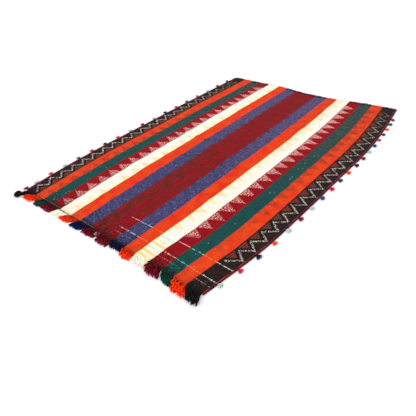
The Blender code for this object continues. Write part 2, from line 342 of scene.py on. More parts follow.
class Value:
    """A number, colour or place that changes over a surface. Sums with it become Math nodes."""

    def __init__(self, bench, source):
        self.bench = bench
        self.source = source

    __add__ = operation("ADD")
    __sub__ = operation("SUBTRACT")
    __mul__ = operation("MULTIPLY")
    __truediv__ = operation("DIVIDE")
    __lt__ = operation("LESS_THAN")
    __gt__ = operation("GREATER_THAN")
    __abs__ = operation("ABSOLUTE")
    cosine = operation("COSINE")
    floor = operation("FLOOR")
    fraction = operation("FRACT")
    lesser = operation("MINIMUM")
    root = operation("SQRT")
    scaled = operation("MULTIPLY_ADD")  # times a factor, plus a start
    snapped = operation("SNAP")

    def __rsub__(self, number):
        return self.bench.maths("SUBTRACT", number, self)

    def __rtruediv__(self, number):
        return self.bench.maths("DIVIDE", number, self)

    def step(self, low, high):
        """0 at low and beyond it, 1 at high and beyond, and a soft change between. Either may be
        the lower one."""
        rising = low <= high
        return self.bench.node(
            "MapRange",
            {"interpolation_type": "SMOOTHSTEP", "clamp": True},
            Value=self,
            From_Min=min(low, high),
            From_Max=max(low, high),
            To_Min=0.0 if rising else 1.0,
            To_Max=1.0 if rising else 0.0,
        )["Result"]

    def grain(self, across, along, up=1.0, detail=2.0, seed=0.0):
        """Noise from 0 to 1 over this place, with grains of the given sizes along each axis."""
        stretched = self.bench.new_node("VectorMath", operation="MULTIPLY")
        self.bench.put(stretched.inputs[0], self)
        stretched.inputs[1].default_value = [1 / size for size in (across, along, up)]
        place = Value(self.bench, stretched.outputs[0])
        settings = {"noise_dimensions": "4D"}
        return self.bench.node("TexNoise", settings, Vector=place, W=seed, Scale=1.0, Detail=detail)["Fac"]


class Bench:
    """Sets out the nodes of one shader tree and links them."""

    def __init__(self, tree):
        self.tree = tree

    def put(self, socket, value):
        """Links a value to a socket, or sets a number, a colour or a dye by its name."""
        if isinstance(value, Value):
            self.tree.links.new(value.source, socket)
        else:
            socket.default_value = dye(value) if isinstance(value, str) else value

    def new_node(self, kind, **settings):
        made = self.tree.nodes.new("ShaderNode" + kind)
        made.location.x = NODE_SPACING * len(self.tree.nodes)
        for name, setting in settings.items():
            setattr(made, name, setting)
        return made

    def node(self, kind, settings=None, **values):
        """Adds a node with its settings and values for its named inputs. Returns its outputs."""
        made = self.new_node(kind, **(settings or {}))
        for name, value in values.items():
            self.put(made.inputs[name.replace("_", " ")], value)
        return {socket.name: Value(self, socket) for socket in reversed(made.outputs)}

    def placed(self, group, **values):
        """Adds one of the rug's shared groups, with its own values. Returns its outputs."""
        return self.node("Group", {"node_tree": bpy.data.node_groups[group]}, **values)

    def maths(self, operation_name, *values):
        made = self.new_node("Math", operation=operation_name)
        for socket, value in zip(made.inputs, values):
            self.put(socket, value)
        return Value(self, made.outputs[0])

    def mix(self, share, first, second):
        """Two colours mixed by a share of the second."""
        made = self.new_node("Mix", data_type="RGBA")
        inputs = {socket.identifier: socket for socket in made.inputs}
        self.put(inputs["Factor_Float"], share)
        self.put(inputs["A_Color"], first)
        self.put(inputs["B_Color"], second)
        return Value(self, next(s for s in made.outputs if s.identifier == "Result_Color"))

    def coats(self, colour, *coats):
        """A colour with others laid over it in turn. Each coat is a colour and its share."""
        for coat, share in coats:
            colour = self.mix(share, colour, coat)
        return colour

    def object_place(self):
        """A point's place on the rug, and its Y."""
        place = self.node("TexCoord")["Object"]
        return place, self.node("SeparateXYZ", Vector=place)["Y"]

    def toned(self, colour, value, clumps):
        """A colour in a lighter or darker value, whose hue turns a little from clump to clump."""
        turn = (clumps - 0.5).scaled(0.03, 0.5)
        return self.node("HueSaturation", Hue=turn, Value=value, Color=colour)["Color"]

    def deliver(self, **values):
        """Gives a group outputs of these names."""
        for name, value in values.items():
            kind = OUTPUT_KINDS[value.source.type]
            self.tree.interface.new_socket(name, in_out="OUTPUT", socket_type=kind)
        wanted = self.tree.nodes.new("NodeGroupOutput").inputs
        for name, value in values.items():
            self.put(wanted[name], value)


def new_group(group, **inputs):
    """An empty shared group with these inputs and default values. Returns its bench and inputs."""
    tree = bpy.data.node_groups.new(group, "ShaderNodeTree")
    for name, default in inputs.items():
        kind = {NO_PLACE: VECTOR, WHITE: COLOUR}.get(default, FLOAT)
        made = tree.interface.new_socket(name.replace("_", " "), in_out="INPUT", socket_type=kind)
        made.default_value = default
    bench = Bench(tree)
    given = tree.nodes.new("NodeGroupInput").outputs
    return bench, *(Value(bench, socket) for socket in given[: len(inputs)])


# ---------------------------------------------------------------- shared shader groups


def make_cloth_place_group():
    """Where a point lies in the flat cloth, in metres from the seam and from the near end."""
    (bench,) = new_group("Cloth place")
    place = bench.node("UVMap", {"uv_map": "cloth"})["UV"]
    split = bench.node("SeparateXYZ", Vector=place)
    bench.deliver(Across=abs(split["X"]), Along=split["Y"], Place=place)


def make_weave_group():
    """Warp-faced plain weave: yarns along the cloth that dip under each second pick."""
    bench, place, yarn_pitch, pick_pitch = new_group(
        "Warp-faced weave", Place=NO_PLACE, Yarn_pitch=0.0017, Pick_pitch=0.0046
    )
    split = bench.node("SeparateXYZ", Vector=place)
    turns = split["X"] / yarn_pitch
    yarn = turns.floor()
    crown = ((turns.fraction() - 0.5) * math.pi).cosine()
    picks = split["Y"] / pick_pitch
    dip = (yarn.scaled(0.5, picks) * math.tau).cosine()
    height = crown * dip.scaled(0.25, 0.75)
    number = bench.node("TexWhiteNoise", {"noise_dimensions": "1D"}, W=yarn)["Value"]
    rib = (picks * math.tau).cosine()
    bench.deliver(Height=height, Furrow=1.0 - height, Yarn=number, Rib=rib)


def make_wool_tone_group():
    """Uneven dyeing and spinning: blotches, streaks along the warp and bands along the weft, with painted
    shade in the furrows between yarns and along each pick's rib.
    """
    bench, colour, place, yarn, furrow, rib, blotch, streak, band, fleck, furrow_shade, rib_shade = new_group(
        "Wool tone", Color=WHITE, Place=NO_PLACE, Yarn=0.5, Furrow=0.0, Rib=0.0, Blotch=0.3,
        Streak=0.2, Band=0.15, Fleck=0.15, Furrow_shade=0.4, Rib_shade=0.06,
    )
    blotches = place.grain(0.045, 0.060, detail=4, seed=1)
    streaks = place.grain(0.003, 0.120, seed=2)
    bands = place.grain(0.034, 0.0062, seed=3)
    flecks = place.grain(0.0045, 0.0120, detail=1, seed=22)
    # Painted shade: each pick's rib darkens and lightens the colour in turn.
    value = rib.scaled(rib_shade, 1.0)
    for source, amount in ((blotches, blotch), (streaks, streak), (bands, band), (flecks, fleck)):
        value = value + (source - 0.5) * amount * 2.0
    value = value + yarn.scaled(0.12, -0.06)
    # Painted shade in the furrows between yarns, and painted light on their crowns.
    value = value * ((0.5 - furrow) * furrow_shade + 1.0)
    bench.deliver(Color=bench.toned(colour, value, blotches), Blotches=blotches)


def make_zigzag_group():
    """Distance from a woven zigzag, positive on its outer side, stepped yarn by yarn."""
    bench, across, along, first, repeat, count, inner, outer, step = new_group(
        "Zigzag", Across=0.0, Along=0.0, First=0.0, Repeat=0.08, Count=20.0, Inner=0.02,
        Outer=0.07, Step=0.004,
    )
    turns = (along - first) / repeat
    fall = abs((turns + 0.5).fraction() - 0.5) * 2.0
    reach = inner - outer
    gap = across.snapped(step) - reach.scaled(fall, outer)
    slope = reach * 2.0 / repeat
    row = (turns > -0.55) * (turns < count - 0.45)
    bench.deliver(Outside=gap / slope.scaled(slope, 1.0).root(), Row=row)


def make_triangle_group():
    """A row of stepped triangles in short floats, which stand on the line Across = 0."""
    bench, across, along, first, repeat, count, half_base, height, tiers, step = new_group(
        "Stepped triangles", Across=0.0, Along=0.0, First=0.0, Repeat=0.08, Count=20.0,
        Half_base=0.032, Height=0.064, Tiers=5.0, Step=0.0042,
    )
    stepped = across.snapped(step)
    rise = stepped / height
    turns = (along - first) / repeat
    place = bench.node("CombineXYZ", X=stepped, Y=along)["Vector"]
    frayed = place.grain(0.0042, 0.0090, detail=1, seed=26).scaled(0.018, -0.009)
    aside = abs(((turns + 0.5).fraction() - 0.5) * repeat) + frayed
    flare = (rise * tiers).fraction().scaled(-0.20, 1.10)
    inside = aside < (flare - rise) * half_base
    row = (turns > -0.5) * (turns < count - 0.5)
    floats = place.grain(0.0048, 0.0070, detail=1, seed=4)
    bench.deliver(Mask=inside * row * (across > 0.0), Float=floats.step(0.40, 0.56))


def make_added_weft_group():
    """A pale pick laid in across the cloth, which shows as dashes between the warp yarns."""
    bench, across, along, place, slant, width, cover, dash = new_group(
        "Added weft", Across=0.0, Along=0.0, Place=0.1, Slant=0.0, Width=0.005, Cover=1.0, Dash=0.006
    )
    pick = bench.node("CombineXYZ", X=across, Y=place)["Vector"]
    stray = pick.grain(0.05, 1.0, detail=3, seed=5).scaled(0.010, -0.005)
    gap = abs(along - (across.scaled(slant, place) + stray))
    spots = bench.node("CombineXYZ", X=across / dash, Y=place * 90.0)["Vector"]
    dots = bench.node("TexNoise", {"noise_dimensions": "2D"}, Vector=spots, Scale=1.0, Detail=1.0)["Fac"]
    shown = dots.scaled(-2.2, 1.1) + (cover - 0.5)
    bench.deliver(Mask=gap < width * shown.step(0.0, 0.30) * 0.5)


def make_lint_group():
    """Stray flecks of pale fibre caught in the weave."""
    bench, place, spacing, size = new_group("Lint", Place=NO_PLACE, Spacing=0.055, Size=0.0022)
    scale = 1.0 / spacing
    cells = bench.node("TexVoronoi", {"voronoi_dimensions": "2D"}, Vector=place, Scale=scale)
    ragged = size * scale * place.grain(0.004, 0.004, detail=1, seed=7).scaled(2.4, -0.2)
    kind = bench.node("SeparateXYZ", Vector=cells["Color"])["X"]
    bench.deliver(Mask=(cells["Distance"] < ragged) * (kind > 0.62))


def make_end_soil_and_shade_group():
    """Darker cloth that fades in towards both woven ends: rubbed, soiled wool, with painted shade where the
    cloth ends.
    """
    bench, place, along, near, far = new_group("End soil", Place=NO_PLACE, Along=0.0, Near=0.02, Far=0.02)
    stray = place.grain(0.012, 0.016, detail=4, seed=8).scaled(3.0, -1.5)
    closest = (along / near).lesser((CLOTH_LENGTH - along) / far) + stray
    bench.deliver(Mask=closest.step(1.0, 0.1))


def make_spun_yarn_group():
    """Tone and fuzz of loose yarn, from place to place along and across its strands."""
    bench, colour, contrast, grain = new_group("Spun yarn", Color=WHITE, Contrast=0.5, Grain=0.005)
    place = bench.node("TexCoord")["Object"]
    clumps, fuzz = (
        bench.node("TexNoise", {"noise_dimensions": "3D"}, Vector=place, Scale=scale, Detail=2.0)["Fac"]
        for scale in (1.0 / grain, 2600.0)
    )
    value = (fuzz - 0.5).scaled(0.4, ((clumps - 0.5) * contrast).scaled(2.0, 1.0))
    bench.deliver(Color=bench.toned(colour, value, clumps), Height=fuzz)


# ---------------------------------------------------------------- wool materials


def new_wool(name, sheen=0.01):
    """A matt woollen material with nothing linked to it yet. Returns it and its bench."""
    material = bpy.data.materials.new(name)
    material.use_nodes = True
    shader = material.node_tree.nodes["Principled BSDF"]
    shader.inputs["Metallic"].default_value = 0.0
    shader.inputs["Specular IOR Level"].default_value = 0.08
    shader.inputs["Sheen Weight"].default_value = sheen
    shader.inputs["Sheen Roughness"].default_value = 0.5
    return material, Bench(material.node_tree)


def finish_wool(bench, colour, uneven, height, strength, distance):
    """Links a colour, an uneven roughness and a relief to the wool's shader."""
    shader = bench.tree.nodes["Principled BSDF"]
    bench.put(shader.inputs["Base Color"], colour)
    bench.put(shader.inputs["Roughness"], uneven.scaled(0.20, 0.78))
    bump = bench.node("Bump", Strength=strength, Distance=distance, Height=height)
    bench.put(shader.inputs["Normal"], bump["Normal"])


def finish_yarn(bench, colour, contrast, grain):
    """Finishes a woollen material as loose spun yarn."""
    spun = bench.placed("Spun yarn", Color=colour, Contrast=contrast, Grain=grain)
    finish_wool(bench, spun["Color"], spun["Height"], spun["Height"], strength=0.35, distance=0.0004)


class Spot:
    """A place on one stripe of a panel, and what the stripe's pattern asks of it."""

    def __init__(self, bench, panel, start, end):
        place = bench.placed("Cloth place")
        self.bench = bench
        self.panel = panel
        self.right = panel.side == RIGHT
        self.start = start
        self.end = end
        self.across = place["Across"]
        self.along = place["Along"]
        self.place = place["Place"]
        self.coats = bench.coats
        drift = self.grain(3.0, 0.16, detail=1, seed=9)
        self.motif_along = self.along + (drift - 0.5) * (2 * MOTIF_STRAY)

    def grain(self, across, along, detail=2.0, seed=0.0):
        return self.place.grain(across, along, detail=detail, seed=seed)

    def inner_rim(self, end, full):
        """1 up to a distance from the stripe's inner edge, and 0 from where the rim ends."""
        return (self.across - self.start).step(end, full)

    def outer_rim(self, end, full):
        """The same along the stripe's outer edge."""
        return (self.end - self.across).step(end, full)

    def motif_row(self, group, lead, **sizes):
        """One kind of motif, repeated along the panel."""
        motifs = self.panel.motifs
        first, count = motifs.first + lead, float(motifs.count)
        return self.bench.placed(
            group, Along=self.motif_along, First=first, Repeat=motifs.repeat, Count=count, **sizes
        )

    def triangles(self, base, half_base, height, tiers=5.0, lead=0.0):
        """A row of triangles that stand on a line at base, in metres from the seam."""
        sizes = {"Half_base": half_base, "Height": height, "Tiers": tiers}
        return self.motif_row("Stepped triangles", lead, Across=self.across - base, **sizes)

    def zigzag(self, inner, outer, lead=0.0):
        """A zigzag between two distances from the seam."""
        return self.motif_row("Zigzag", lead, Across=self.across, Inner=inner, Outer=outer)

    def added_weft(self, weft):
        """Where an added weft shows."""
        sizes = {name.capitalize(): size for name, size in weft._asdict().items()}
        return self.bench.placed("Added weft", Across=self.across, Along=self.along, **sizes)["Mask"]


# In these patterns a step's first number is where something is absent, and its second where it
# is in full. A grain's two sizes are in metres across and along the cloth.


def centre_red_pattern(spot):
    """Dark red with a faint olive-brown zigzag, mirrored at the seam."""
    wave = spot.zigzag(0.020, 0.066)
    broken = spot.grain(0.009, 0.011, detail=1, seed=11).step(0.47, 0.57)
    line = abs(wave["Outside"]).step(0.0140, 0.0060) * broken * wave["Row"]
    patches = spot.grain(0.030, 0.050, detail=3, seed=12)
    fresh = spot.grain(0.014, 0.026, detail=3, seed=28).step(0.54, 0.70)
    coats = [("madder", patches.step(0.40, 0.70)), ("crimson", fresh * 0.35)]
    if not spot.right:
        coats.append(("olive", spot.along.step(1.15, 0.50) * patches.step(0.34, 0.60) * 0.38))
    return spot.coats("dark_red", *coats, ("olive", line * 0.80))


def indigo_pattern(spot):
    """Mottled indigo with violet and plum patches, and small dark teeth along the red stripe."""
    patches = spot.grain(0.022, 0.030, detail=4, seed=13)
    aged = spot.grain(0.016, 0.020, detail=3, seed=35).step(0.36, 0.62) * spot.along.step(0.5, 1.5)
    flecks = spot.grain(0.006, 0.014, seed=29)
    teeth = spot.triangles(spot.start, 0.022, 0.016, tiers=2.0)["Mask"]
    return spot.coats(
        "indigo",
        ("violet", patches.step(0.50, 0.72)),
        ("slate", patches.step(0.46, 0.30)),
        ("heather", aged * 0.30),
        ("periwinkle", flecks.step(0.55, 0.62) * 0.66),
        ("grape", flecks.step(0.38, 0.30) * 0.45),
        ("slate", teeth * 0.7),
    )


def inner_orange_pattern(spot):
    """Plain orange, redder in places, with a dark yarn beside the cream."""
    patches = spot.grain(0.060, 0.016, detail=3, seed=14)
    coats = [("rust", patches * 0.30)]
    if spot.right:
        coats.append(("sienna", spot.along.step(1.2, 1.8) * patches.step(0.35, 0.65) * 0.35))
    return spot.coats("orange", *coats, ("madder", spot.outer_rim(0.0042, 0.0012) * 0.7))


def cream_pattern(spot):
    """Cream with faint straw and peach triangles, and in the right panel coloured weft bands."""
    row = spot.triangles(spot.start, 0.028, 0.054, tiers=4.0)["Mask"]
    kind = spot.grain(1.0, 0.120, detail=0, seed=15)
    worn = spot.grain(0.020, 0.030, seed=25).step(0.22, 0.52)
    strength = kind.step(0.30, 0.60).scaled(0.50, 0.35) * worn
    tint = spot.coats("straw", ("peach", kind.step(0.42, 0.58)))
    coats = [(tint, row * strength), ("straw", spot.inner_rim(0.009, 0.004) * 0.75)]
    if spot.right:
        aged = spot.grain(0.040, 0.030, detail=3, seed=33).step(0.38, 0.64) * spot.along.step(0.80, 1.40)
        coats.append(("peach", aged * spot.inner_rim(0.066, 0.036) * 0.45))
        coats += [(colour, spot.added_weft(weft) * 0.85) for colour, weft in CREAM_BANDS]
    return spot.coats("cream", *coats)


def outer_red_pattern(spot):
    """Dark red with a row of pink triangles that stand on the cream stripe."""
    row = spot.triangles(spot.start + 0.003, 0.035, 0.066)
    near, far = (-0.035, 0.010) if spot.right else (-0.030, -0.010)
    spread = spot.along.step(0.3, 1.5).scaled(far - near, near)
    threads = (spot.grain(0.0046, 0.0085, detail=1, seed=16) + spread).step(0.45, 0.52)
    shade = spot.coats("rose", ("pink", row["Float"]))
    rim = spot.inner_rim(0.0045, 0.0015)
    return spot.coats("dark_red", (shade, row["Mask"] * threads), ("olive", rim * 0.6))


def green_pattern(spot):
    """Deep green clouded with slate, with brown marks towards the far end and teal flecks."""
    patches = spot.grain(0.026, 0.034, detail=4, seed=17)
    marks = spot.grain(0.024, 0.016, detail=3, seed=34).step(0.46, 0.62)
    aged = spot.along.step(0.5, 1.7) * (0.60 if spot.right else 0.36)
    flecks = spot.grain(0.005, 0.016, seed=18).step(0.58, 0.72)
    return spot.coats(
        "green", ("slate", patches.step(0.48, 0.70)), ("nut", aged * marks), ("teal", flecks * 0.6)
    )


def outer_orange_pattern(spot):
    """Orange with a row of faint brown triangles that stand on the green stripe."""
    row = spot.triangles(spot.start, 0.031, 0.055, tiers=4.0, lead=spot.panel.motifs.zigzag_lead)
    fade = spot.grain(0.016, 0.030, seed=24).step(0.26, 0.50)
    aged = spot.grain(0.030, 0.040, detail=3, seed=30).step(0.36, 0.66)
    if spot.right:
        strength = spot.along.step(0.30, 1.00).scaled(0.38, 0.32)
        aged = aged * spot.along.step(0.8, 1.7).scaled(0.36, 0.14)
    else:
        strength = 0.62
        fade = fade * spot.along.step(1.80, 1.10)
        aged = aged * 0.22
    shown = row["Mask"] * (row["Float"].scaled(0.4, 0.6) * strength) * fade
    rim = spot.outer_rim(0.0035, 0.0010)
    return spot.coats("red_orange", ("sienna", aged), ("nut", shown), ("madder", rim * 0.6))


def black_brown_pattern(spot):
    """Black-brown with a bone-white zigzag over brick-red triangles in a black outline."""
    lead = spot.panel.motifs.zigzag_lead
    wave = spot.zigzag(spot.start + 0.020, spot.start + 0.074, lead)
    outside, row = wave["Outside"], wave["Row"]
    faded = spot.grain(0.040, 0.030, seed=36).step(0.42, 0.62)
    hatch = (spot.across / 0.0110).fraction().step(0.40, 0.60)
    inside = spot.coats("brick", ("umber", faded), ("black_brown", hatch * 0.85))
    specks = spot.grain(0.0040, 0.0055, seed=37).step(0.58, 0.66) * spot.along.step(0.25, 1.20)
    outline = outside.step(-0.0185, -0.0140) * row * outside.step(0.0140, 0.0080)
    ragged = spot.grain(0.0060, 0.0070, seed=23).scaled(0.0190, outside - 0.0095)
    distant = spot.along.step(0.9, 1.9)
    gap = abs(ragged) + distant * 0.0008
    thick = 0.98 if spot.right else 1.08
    broken = spot.grain(0.0042, 0.0080, detail=1, seed=19).step(0.45, 0.58)
    fade = spot.along.step(1.5, 1.9).scaled(-0.35, 1.0)
    line = gap.step(0.0054 * thick, 0.0027 * thick) * broken * fade
    worn = distant.scaled(0.10, spot.grain(0.03, 0.05, seed=20))
    bone = spot.coats("bone", ("ash", worn.step(0.50, 0.70)))
    return spot.coats(
        "black_brown",
        ("nut", specks * 0.40),
        (inside, outside.step(-0.0155, -0.0205) * row),
        ("black", outline * 0.6),
        ("black_brown", spot.inner_rim(0.010, 0.006) * 0.8),
        (bone, line * row),
    )


PATTERNS = {
    "centre_red": centre_red_pattern,
    "indigo": indigo_pattern,
    "inner_orange": inner_orange_pattern,
    "cream": cream_pattern,
    "outer_red": outer_red_pattern,
    "green": green_pattern,
    "outer_orange": outer_orange_pattern,
    "black_brown": black_brown_pattern,
}

# A Tone's last number sets how strongly the stripe darkens near its ends and at its loose ends' roots: partly
# soil, partly painted shade.
Tone = namedtuple("Tone", "blotch streak band fleck lint soil")
# Dyes that the end soil and painted shade take on; other stripes take black.
SOIL_AND_SHADE_DYES = {"cream": "corn", "inner_orange": "sienna", "outer_orange": "sienna"}
TONES = {
    "centre_red": Tone(0.18, 0.16, 0.34, 0.30, 0.0, 0.80),
    "indigo": Tone(0.26, 0.16, 0.34, 0.34, 0.6, 0.80),
    "inner_orange": Tone(0.06, 0.08, 0.16, 0.08, 0.0, 0.42),
    "cream": Tone(0.03, 0.04, 0.07, 0.03, 0.0, 0.30),
    "outer_red": Tone(0.18, 0.16, 0.32, 0.30, 0.0, 0.80),
    "green": Tone(0.26, 0.18, 0.34, 0.34, 0.7, 0.78),
    "outer_orange": Tone(0.10, 0.10, 0.20, 0.12, 0.4, 0.44),
    "black_brown": Tone(0.24, 0.22, 0.34, 0.42, 0.0, 0.64),
}
SOIL_AND_SHADE_REACH = 0.034  # how far the end soil and painted shade run in from each woven end


def make_stripe_material(panel, number):
    """The woven wool of one stripe in one panel."""
    stripe, tone = STRIPES[number], TONES[STRIPES[number].name]
    material, bench = new_wool(f"{stripe.name}_{panel.word}")
    start = sum(before.width for before in STRIPES[:number])
    spot = Spot(bench, panel, start, start + stripe.width)
    place, along = spot.place, spot.along
    weave = bench.placed("Warp-faced weave", Place=place)
    rubbed = spot.grain(0.022, 0.009, detail=4, seed=27)
    near = along.step(0.17, 0.04) * tone.soil
    fresh = rubbed.step(0.46, 0.36) * (near * (0.9 if spot.right else 0.4))
    fresh_dye = "slate" if spot.right and stripe.name == "indigo" else stripe.rubbed
    # Towards both woven ends the stripe darkens: soil, with painted shade where the cloth ends.
    soil = bench.placed("End soil", Place=place, Along=along, Near=SOIL_AND_SHADE_REACH, Far=SOIL_AND_SHADE_REACH)["Mask"]
    soil_and_shade_dye = SOIL_AND_SHADE_DYES.get(stripe.name, "black")
    colour = bench.coats(
        PATTERNS[stripe.name](spot),
        (fresh_dye, fresh),
        (soil_and_shade_dye, rubbed.step(0.45, 0.60) * near * 0.8),
        (soil_and_shade_dye, soil * tone.soil),
    )
    toned = bench.placed(
        "Wool tone", Color=colour, Place=place, Yarn=weave["Yarn"], Furrow=weave["Furrow"],
        Rib=weave["Rib"], Blotch=tone.blotch, Streak=tone.streak, Band=tone.band, Fleck=tone.fleck,
    )
    colour, relief = toned["Color"], weave["Height"]
    for weft in panel.wefts:
        mask = spot.added_weft(weft) * spot.across.step(0.026, 0.034)
        colour = bench.coats(colour, (stripe.weft_tint, mask * 0.9))
        relief = mask.scaled(0.6, relief)
    if tone.lint:
        colour = bench.coats(colour, ("bone", bench.placed("Lint", Place=place)["Mask"] * tone.lint))
    finish_wool(bench, colour, toned["Blotches"], relief, strength=0.5, distance=0.0006)
    return material


def make_yarn_material(name, dye_name, contrast=0.5, grain=0.005):
    """Loose spun wool in one dye."""
    material, bench = new_wool(name, sheen=0.04)
    finish_yarn(bench, dye_name, contrast, grain)
    return material


def make_fringe_material(end_word, kind, stripe):
    """Loose warp ends of one stripe, darker at the near end where they leave the weave: painted shade there,
    with some soil.
    """
    material, bench = new_wool(f"warp_ends_{end_word}_{stripe.name}", sheen=0.02)
    colour = kind + stripe.dye
    if end_word == "near":
        place, along = bench.object_place()
        # Painted shade, with some soil, on the ends near their roots; cream ends turn straw there instead of
        # black.
        rooted = along.step(-0.996, -0.966) * place.grain(0.010, 0.008, 0.008, seed=32).step(0.34, 0.54)
        root_shade_and_soil = rooted * (1.1 * TONES[stripe.name].soil)
        colour = bench.coats(colour, ("straw" if stripe.name == "cream" else "black", root_shade_and_soil))
    finish_yarn(bench, colour, 0.95, 0.005)
    return material


def make_selvedge_material(name, dye_name, end_dye, painted_shade_share):
    """Selvedge cord wool with near-black patches of painted shade, that turns to another colour at the near
    end.
    """
    material, bench = new_wool(name, sheen=0.03)
    place, along = bench.object_place()
    turned = along.step(-0.52, -0.70)
    flecks = place.grain(0.02, 0.016, 0.02, detail=1, seed=21).step(0.60, 0.64)
    # Near-black patches of painted shade along the cord.
    patches = place.grain(0.05, 0.034, 0.05, seed=38).step(0.46, 0.58)
    colour = bench.coats(
        dye_name, (end_dye, turned), ("indigo", turned * flecks), ("black", patches * painted_shade_share)
    )
    finish_yarn(bench, colour, 0.4, 0.008)
    return material


# ---------------------------------------------------------------- yarn tools


def new_object(name, data):
    """An object that holds this data, in the scene."""
    made = bpy.data.objects.new(name, data)
    bpy.context.scene.collection.objects.link(made)
    return made


def new_skein(name, materials, radius, facets=6):
    """An empty curve that many lengths of round yarn are laid into."""
    skein = bpy.data.curves.new(name, "CURVE")
    skein.dimensions = "3D"
    skein.bevel_depth = radius
    skein.bevel_resolution = (facets - 4) // 2
    skein.use_fill_caps = True
    for material in materials:
        skein.materials.append(material)
    return skein


def lay_yarn(skein, points, number=0, taper=None):
    """One length of yarn through the points, with its own thickness at each if taper is given."""
    spline = skein.splines.new("POLY")
    spline.points.add(len(points) - 1)
    spline.use_smooth = True
    spline.material_index = number
    for knot, point, thickness in zip(spline.points, points, taper or [1.0] * len(points)):
        knot.co = (*point, 1.0)
        knot.radius = thickness


TAPER = (0.8, 1.0, 1.0, 1.0, 1.0, 1.0, 0.8)  # thickness from a loose end's root to its tip


def lay_loose_end(skein, points, number=0):
    """One length of yarn that is thinner at both its ends."""
    spacing = (len(TAPER) - 1) / (len(points) - 1)
    lay_yarn(skein, points, number, [TAPER[round(i * spacing)] for i in range(len(points))])


def finish_skein(skein):
    """Makes a skein one mesh object and returns it."""
    curve = new_object(skein.name + "_curve", skein)
    depsgraph = bpy.context.evaluated_depsgraph_get()
    mesh = bpy.data.meshes.new_from_object(curve.evaluated_get(depsgraph))
    mesh.name = skein.name
    bpy.data.objects.remove(curve)
    mesh.shade_smooth()
    return new_object(skein.name, mesh)


def kept_low(point, floor):
    """The point, raised or lowered to lie between the floor and the pile's limit."""
    point.z = min(max(point.z, floor), PILE_LIMIT)
    return point


def loose_end(root, tip, lift, crimp, curls, rng, steps, floor, crest=0.8):
    """Points of a loose wool end that rises, curls about its line and comes to lie by its tip."""
    run = tip - root
    aside = run.cross(UP).normalized()
    start, hand = rng.uniform(0, math.tau), rng.choice((-1, 1))
    points = []
    for step in range(steps + 1):
        t = step / steps
        swirl = crimp * min(1.0, 2.5 * t)
        turn = start + hand * math.tau * curls * t
        point = root + run * t + aside * swirl * math.cos(turn)
        point.z += lift * math.sin(math.pi * t**crest) + swirl * 0.8 * (1 + math.sin(turn))
        points.append(kept_low(point, floor))
    return points


def plied_lock(path, roots, thickness, twists, rng, floor):
    """Points of each strand of a lock: from its own root it joins the others, twisted together."""
    strands = []
    for root in roots:
        angle, depth = rng.uniform(0, math.tau), thickness * rng.uniform(0.35, 1.0)
        last = rng.randint(len(path) - 3, len(path))
        points = []
        for number, spot in enumerate(path[:last]):
            t = number / (len(path) - 1)
            turn = angle + math.tau * twists * t
            bundled = spot + Vector((math.cos(turn), 0.0, math.sin(turn))) * depth
            points.append(kept_low(root.lerp(bundled, min(1.0, 4 * t)), floor))
        strands.append(points)
    return strands


# ---------------------------------------------------------------- pieces of the rug


def make_cloth(panel):
    """One panel: a fine grid over the folds, thickened upward, with its flat place as its UV."""

    def stripes_passed(place):
        """How many stripes lie between the seam and a place on the unit grid."""
        return (0.5 + panel.side * place.x) * len(STRIPES)

    bm = bmesh.new()
    columns = len(STRIPES) * COLUMNS_PER_STRIPE
    bmesh.ops.create_grid(bm, x_segments=columns, y_segments=ROWS, size=0.5)
    flat = bm.loops.layers.uv.new("cloth")
    for face in bm.faces:
        face.smooth = True
        face.material_index = int(stripes_passed(face.calc_center_median()))
        for loop in face.loops:
            across = stripe_share(stripes_passed(loop.vert.co)) * CLOTH_WIDTH
            loop[flat].uv = (panel.side * across, (loop.vert.co.y + 0.5) * CLOTH_LENGTH)
    for edge in bm.edges:
        edge.smooth = not edge.is_boundary
    for vert in bm.verts:
        across = stripe_share(stripes_passed(vert.co))
        vert.co = cloth_point(panel.side, across, vert.co.y + 0.5)
    mesh = bpy.data.meshes.new("cloth_" + panel.word)
    bm.to_mesh(mesh)
    bm.free()
    for number in range(len(STRIPES)):
        mesh.materials.append(make_stripe_material(panel, number))
    cloth = new_object(mesh.name, mesh)
    thicken = cloth.modifiers.new("thickness", "SOLIDIFY")
    thicken.thickness = CLOTH
    thicken.offset = 1.0
    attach(cloth, "root")
    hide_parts("panel_" + panel.word)
    return cloth


CORD_WIDTH = 0.012
CORD_TWIST = 0.011  # length of one turn of the selvedge cord's plies
CORD_PLY = 0.0016  # radius of one ply
CORD_STEPS = 7  # points laid on each turn of a ply


def make_selvedge(panel):
    """The double cord: two plied yarns laid side by side, twisted opposite ways."""
    # The outer cord is dyed darker than the inner and gets more black patches: painted shade on the outer
    # ply.
    outer = make_selvedge_material("outer_cord_" + panel.word, "burgundy", "burgundy", 0.85)
    inner_end = "rust" if panel.side == RIGHT else "mauve"
    inner = make_selvedge_material("inner_cord_" + panel.word, "mauve", inner_end, 0.60)
    skein = new_skein("selvedge_" + panel.word, [inner, outer], CORD_PLY)
    half = CORD_WIDTH / 4
    turns = round(CLOTH_LENGTH / CORD_TWIST)
    steps = turns * CORD_STEPS
    for number, hand in ((0, 1), (1, -1)):
        for start in (0.0, math.pi):
            points = []
            for step in range(steps + 1):
                along = step / steps
                angle = start + hand * math.tau * turns * along
                swing = (half - CORD_PLY) * math.cos(angle)
                point = edge_point(panel.side, along, half * (1 + 2 * number) + swing)
                point.z = half + (half - CORD_PLY) * math.sin(angle)
                points.append(point)
            lay_yarn(skein, points, number)
    cord = finish_skein(skein)
    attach(cord, "root")
    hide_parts("selvedge_cord_" + panel.word)
    return cord


PILE_LIMIT = 0.0205  # height that no loose end passes
FRINGE_ROOT = 0.003  # how far inside the weave the ends start

Lobe = namedtuple("Lobe", "reach lean gather curl pile")
